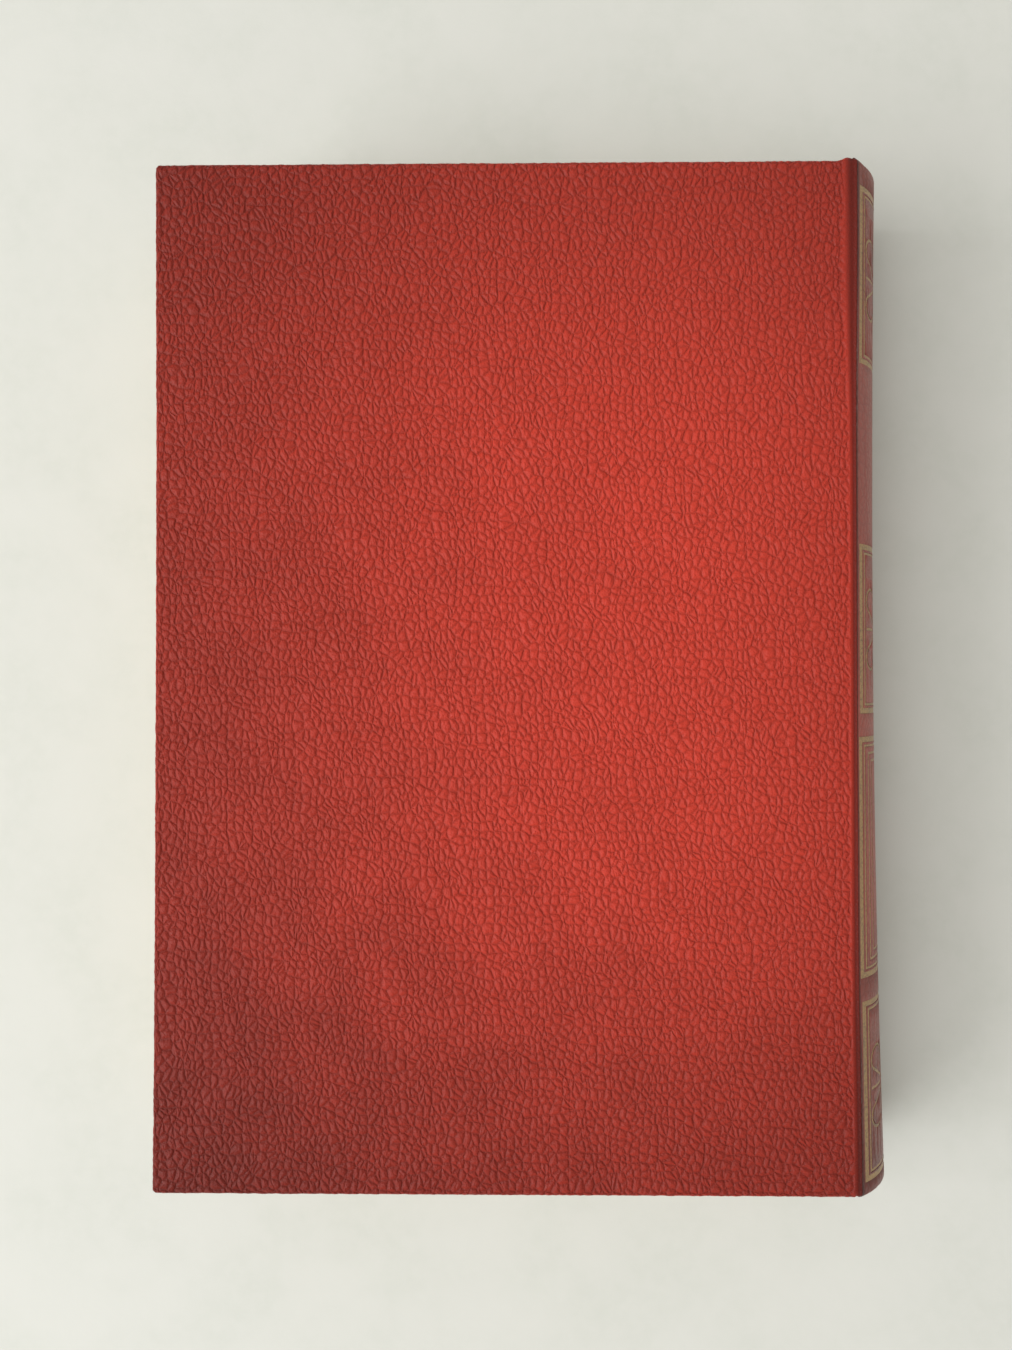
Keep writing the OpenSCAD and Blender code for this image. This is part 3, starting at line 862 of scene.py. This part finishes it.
@operator
class BOOK_OT_pages(bpy.types.Operator):
    """Stacks the sewn leaves, each a little out of line with the next"""
    bl_idname = "book.pages"
    bl_label = "Text block"

    def execute(self, context):
        rng = random.Random(7)
        low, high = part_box("text_block")
        back_r, arc_x = self.round_of_back()

        def round_x(z):
            return arc_x + math.sqrt(back_r ** 2 - z ** 2)

        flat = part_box("back_flyleaf")[0].z - MID_Z
        shoulder_z = high.z - MID_Z
        shoulder_x = round_x(shoulder_z)
        step = 2 * flat / LEAVES
        last = self.leaf(low, shoulder_x, high, step * LEAF_SHARE)
        made = [twin(last) for i in range(LEAVES - 1)] + [last]
        for i, leaf in enumerate(made):
            z = step * (i + 0.5) - flat
            # The fore-edge is hollow by as much as the back is round, and the leaves fan out into the shoulders
            co = points(leaf)
            fore, back = co[:, 0] < 0, co[:, 0] > shoulder_x + 0.05 * MM
            fan = z * shoulder_z / flat
            co[fore, 0] += round_x(z) - round_x(flat) + rng.uniform(-0.05, 0.03) * MM
            co[back, 0] = round_x(fan)
            co[back, 2] += fan - z
            co += (0, rng.uniform(-0.05, 0.05) * MM, MID_Z + z)
            set_points(leaf, co)
        join(made, last)
        rename(last, "leaves")
        finish_piece(last, material("pages"), "text_and_spine", ["text_block"])
        return {"FINISHED"}

    def leaf(self, low, shoulder_x, high, thick):
        """One leaf, flat at height 0, with its fore-edge corners a little round and a row at the shoulder."""
        deselect()
        bpy.ops.mesh.primitive_cube_add(size=1, location=((low.x + shoulder_x) / 2, 0, 0),
                                        scale=(shoulder_x - low.x, high.y - low.y - 0.1 * MM, thick))
        leaf = newest()
        bpy.ops.object.transform_apply(location=True, rotation=True, scale=True)
        edit(leaf)
        select(leaf, "edges", lambda e: span(e)[2] > thick / 2 and middle(e).x < 0)
        bpy.ops.mesh.bevel(offset=LEAF_CORNER * MM, segments=3, affect="EDGES")
        select(leaf, "faces", lambda f: f.normal.x > 0.9)
        bpy.ops.mesh.extrude_region_move(TRANSFORM_OT_translate={"value": (0.1 * MM, 0, 0)})
        done()
        return leaf

    def round_of_back(self):
        """Radius and centre of the round of the pages' back, from the solid's own points."""
        co = points(frame["nodes"]["text_block"])
        rim = co[co[:, 0] > JOINT_X + 0.4 * MM]
        sides = np.c_[2 * rim[:, 0], np.ones(len(rim))]
        squares = rim[:, 0] ** 2 + (rim[:, 2] - MID_Z) ** 2
        (centre, rest), *_ = np.linalg.lstsq(sides, squares, rcond=None)
        return math.sqrt(rest + centre ** 2), centre


# Rows across the fold, how far it bulges toward the joint in mm, and how much of the solids' thickness is paper
FOLD_ROWS, FOLD_BULGE, PAPER_SHARE = 24, 0.12, 0.96


@operator
class BOOK_OT_endpapers(bpy.types.Operator):
    """Folds one sheet at each end of the book: half lies on the pages, half is pasted to the board"""
    bl_idname = "book.endpapers"
    bl_label = "Endpapers"

    def execute(self, context):
        paste_low, paste_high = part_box("back_pastedown")
        fly_low, fly_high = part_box("back_flyleaf")
        thick = fly_high.z - fly_low.z
        start, end = (fly_low.z + fly_high.z) / 2, (paste_low.z + paste_high.z) / 2
        back = self.folded(fly_low, fly_high, paste_low, start, end)
        co = points(back)
        on_pages = np.abs(co[:, 2] - start) < 0.02 * MM
        keep_sheet(back, np.where(on_pages, co[:, 0], 2 * JOINT_X - co[:, 0]), co[:, 1], 0.5)
        for side, piece, up in (("back", back, 1), ("front", twin(back), -1)):
            rename(piece, side + "_endpaper")
            co = points(piece)
            co[:, 2] = MID_Z + (co[:, 2] - MID_Z) * up
            set_points(piece, co)
            if up < 0:
                edit(piece)
                bpy.ops.mesh.select_all(action="SELECT")
                bpy.ops.mesh.flip_normals()
                done()
            wall = piece.modifiers.new("paper", "SOLIDIFY")
            wall.thickness, wall.offset = thick * PAPER_SHARE, 0
            apply_all(piece)
            smooth(piece)
            finish_piece(piece, material("endpaper"),
                         replaces=(side + "_pastedown", side + "_flyleaf"))
            if up > 0:
                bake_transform(piece)
            else:
                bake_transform(piece)
        return {"FINISHED"}

    def folded(self, fly_low, fly_high, paste_low, start, end):
        """A sheet without thickness: flyleaf, fold and pastedown in one strip."""
        deselect()
        bpy.ops.mesh.primitive_plane_add(size=1, location=((fly_low.x + fly_high.x) / 2, 0, start))
        sheet = newest()
        sheet.scale = (fly_high.x - fly_low.x, fly_high.y - fly_low.y, 1)
        bpy.ops.object.transform_apply(location=True, rotation=True, scale=True)
        edit(sheet)
        select(sheet, "edges", lambda e: all(near(v.co.x, fly_high.x) for v in e.verts))
        for i in range(FOLD_ROWS):
            bulge = math.sin(math.pi * (i + 1) / FOLD_ROWS) - math.sin(math.pi * i / FOLD_ROWS)
            bpy.ops.mesh.extrude_region_move(TRANSFORM_OT_translate={
                "value": (FOLD_BULGE * MM * bulge, 0, (end - start) / FOLD_ROWS)})
        bpy.ops.mesh.extrude_region_move(TRANSFORM_OT_translate={"value": (paste_low.x - fly_high.x, 0, 0)})
        select(sheet, "edges", lambda e: span(e)[1] > 10 * MM or span(e)[0] > 10 * MM)
        bpy.ops.mesh.subdivide(number_cuts=7)
        bpy.ops.mesh.select_all(action="SELECT")
        bpy.ops.mesh.normals_make_consistent(inside=False)
        done()
        return sheet


# ---------------------------------------------------------------- bands

# In mm: radius of the rolled core, radius of a thread, how deep threads sink into the core, and their spacing
CORE_R, THREAD_R, SINK, PITCH = 1.1, 0.27, 0.08, 0.5
# Turn from the middle of the back to a band's end, and slant of the windings, in degrees
BAND_TURN, SLANT = 43.5, 7


@operator
class BOOK_OT_bands(bpy.types.Operator):
    """Winds the head and tail bands with red and cream silk"""
    bl_idname = "book.bands"
    bl_label = "Silk bands"

    def execute(self, context):
        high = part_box("head_band")[1]
        core_y, core_x = high.y - CORE_R * MM, high.x - CORE_R * MM
        round_r, half = core_x - ARC_X, math.radians(BAND_TURN)
        turns = int(2 * half * round_r / (PITCH * MM))
        for end, side in (("head", 1), ("tail", -1)):
            for silk_name, first in (("red", 0), ("cream", 2)):
                # Two threads of one colour follow two of the other
                rows = [i for i in range(turns) if (i - first) % 4 < 2]
                thread = self.thread()
                made = [thread] + [twin(thread) for i in rows[1:]]
                for i, thread in zip(rows, made):
                    turn = -half + 2 * half * (i + 0.5) / turns
                    thread.location = (ARC_X + round_r * math.cos(turn), side * core_y,
                                       MID_Z + round_r * math.sin(turn))
                    thread.rotation_euler = (0, -turn, 0)
                join(made, made[0])
                bpy.ops.object.transform_apply(location=True, rotation=True, scale=True)
                piece = newest()
                rename(piece, f"{end}_band_{silk_name}_silk")
                smooth(piece, 60)
                finish_piece(piece, material(f"{silk_name}_silk"), "text_and_spine")
        return {"FINISHED"}

    def thread(self):
        """One winding of silk: a ring that is slanted a little, as a winding lies."""
        deselect()
        bpy.ops.mesh.primitive_torus_add(major_segments=18, minor_segments=6, location=(0, 0, 0),
                                         major_radius=(CORE_R - SINK) * MM, minor_radius=THREAD_R * MM)
        thread = newest()
        edit(thread)
        bpy.ops.mesh.select_all(action="SELECT")
        bpy.ops.transform.resize(value=(1, 1, 0.95))
        bpy.ops.transform.rotate(value=math.radians(SLANT), orient_axis="X", center_override=(0, 0, 0))
        done()
        return thread


@operator
class BOOK_OT_finishes(bpy.types.Operator):
    """Gives the solids that stay their materials"""
    bl_idname = "book.finishes"
    bl_label = "Materials of the solids"

    def execute(self, context):
        by_slot = {"linen": "linen", "mull": "mull", "kraft": "kraft", "endpaper": "endpaper",
                   "millboard": "millboard", "band_silk": "red_silk", "pages": "pages",
                   "cover_leather": "goatskin", "spine_leather": "back_skin", "gilt": "gold"}
        for part in frame["record"]["subparts"]:
            dress(frame["nodes"][part["node"]], material(by_slot[part["material_slot"]]))
        return {"FINISHED"}


# ---------------------------------------------------------------- stage

# The camera as fitted to the outline in the photograph: lens and place in mm, turn in degrees
LENS, SEAT, SEAT_TURN = 26.0, (-1.17, -1.75, 227.5), (0.58, 0.68, -0.03)
# Name, place and size in metres, and watts
LAMPS = (("window", (-1.50, -0.50, 0.80), (1.7, 0.6), 24),
         ("ceiling", (-0.95, -0.20, 1.35), (1.3, 1.3), 12))
ROOM_COLOUR, ROOM_STRENGTH = "#ece7df", 0.74


@operator
class BOOK_OT_stage(bpy.types.Operator):
    """Sets the pale floor, the soft light and the camera"""
    bl_idname = "book.stage"
    bl_label = "Stage"

    def execute(self, context):
        deselect()
        bpy.ops.mesh.primitive_grid_add(x_subdivisions=8, y_subdivisions=8, size=3, location=(0, 0, 0))
        floor = newest()
        floor.name = "floor"
        # Floor painted matt: pale grey, with faint clouds
        dress(floor, fibres("Floor_painted_matt", "#cfd1cc", "#cacdc7", 0.9, (1, 1, 1), 0.25, relief=0.05))
        camera = bpy.data.cameras.new("camera")
        camera.lens, camera.sensor_width, camera.clip_start = LENS, 36, 0.01
        seat = bpy.data.objects.new("camera", camera)
        seat.location = [place * MM for place in SEAT]
        seat.rotation_euler = [math.radians(turn) for turn in SEAT_TURN]
        context.scene.collection.objects.link(seat)
        context.scene.camera = seat
        for name, place, size, power in LAMPS:
            lamp = bpy.data.lights.new(name, "AREA")
            lamp.shape, lamp.size, lamp.size_y, lamp.energy = "RECTANGLE", *size, power
            holder = bpy.data.objects.new(name, lamp)
            holder.location = place
            holder.rotation_mode = "QUATERNION"
            holder.rotation_quaternion = (-Vector(place)).to_track_quat("-Z", "Y")
            context.scene.collection.objects.link(holder)
        context.scene.view_settings.view_transform = "Standard"
        room = bpy.data.worlds.new("room")
        room.use_nodes = True
        light = room.node_tree.nodes["Background"].inputs
        light[0].default_value, light[1].default_value = srgb(ROOM_COLOUR), ROOM_STRENGTH
        context.scene.world = room
        return {"FINISHED"}


class BOOK_PT_panel(bpy.types.Panel):
    """Lists the steps that build the book"""
    bl_label = "Leather-bound book"
    bl_space_type = "VIEW_3D"
    bl_region_type = "UI"
    bl_category = "Book"

    def draw(self, context):
        for group in (context.scene.book_sizes, context.scene.book_colours):
            for name in type(group).__annotations__:
                self.layout.prop(group, name)
        for cls in STEPS:
            self.layout.operator(cls.bl_idname)


STEPS = [BOOK_OT_stage, BOOK_OT_finishes, BOOK_OT_covers, BOOK_OT_back, BOOK_OT_pages, BOOK_OT_endpapers,
         BOOK_OT_bands]


def register():
    for cls in CLASSES + [BOOK_PT_panel]:
        bpy.utils.register_class(cls)
    bpy.types.Scene.book_sizes = bpy.props.PointerProperty(type=BookSizes)
    bpy.types.Scene.book_colours = bpy.props.PointerProperty(type=BookColours)


def unregister():
    del bpy.types.Scene.book_sizes, bpy.types.Scene.book_colours
    for cls in reversed(CLASSES + [BOOK_PT_panel]):
        bpy.utils.unregister_class(cls)


def main():
    register()
    for cls in STEPS:
        getattr(bpy.ops.book, cls.bl_idname.split(".")[1])()


if __name__ == "__main__":
    main()
